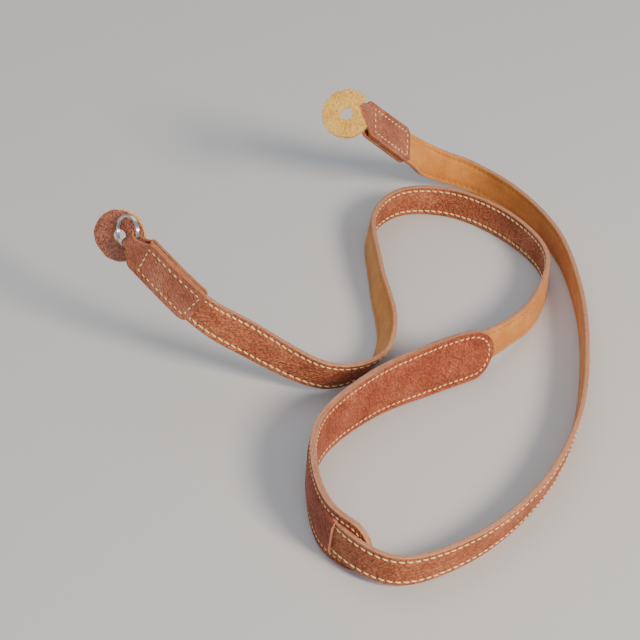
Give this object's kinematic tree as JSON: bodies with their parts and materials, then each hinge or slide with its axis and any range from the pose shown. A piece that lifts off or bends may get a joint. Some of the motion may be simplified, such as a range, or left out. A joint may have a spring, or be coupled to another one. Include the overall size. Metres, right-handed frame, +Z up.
{
  "type": "camera neck strap",
  "caption": "Stitched flat leather neck strap with a sliding slit pad, its ends folded in tabs on split rings with round leather guards, hanging from two lugs over a loose coil.",
  "frame": {"origin": "eye of the left camera lug, where the left ring hangs", "axes": "+X towards the right lug, +Y away from the strap's loops, +Z up; the surface that the loops stand on is at z = -0.065 m"},
  "size_m": [0.2325, 0.2041, 0.0776],
  "materials": {
    "grain_leather": "satin",
    "pad_leather": "satin",
    "suede_guard": "matte",
    "ring_steel": "polished"
  },
  "bodies": {
    "root": {"strap_band": "grain_leather", "pad_inner_layer": "grain_leather", "pad_outer_layer": "pad_leather", "tab_left": "grain_leather", "tab_right": "grain_leather", "ring_left": "ring_steel", "ring_right": "ring_steel", "ring_guard_left": "suede_guard", "ring_guard_right": "suede_guard"}
  },
  "joints": []
}
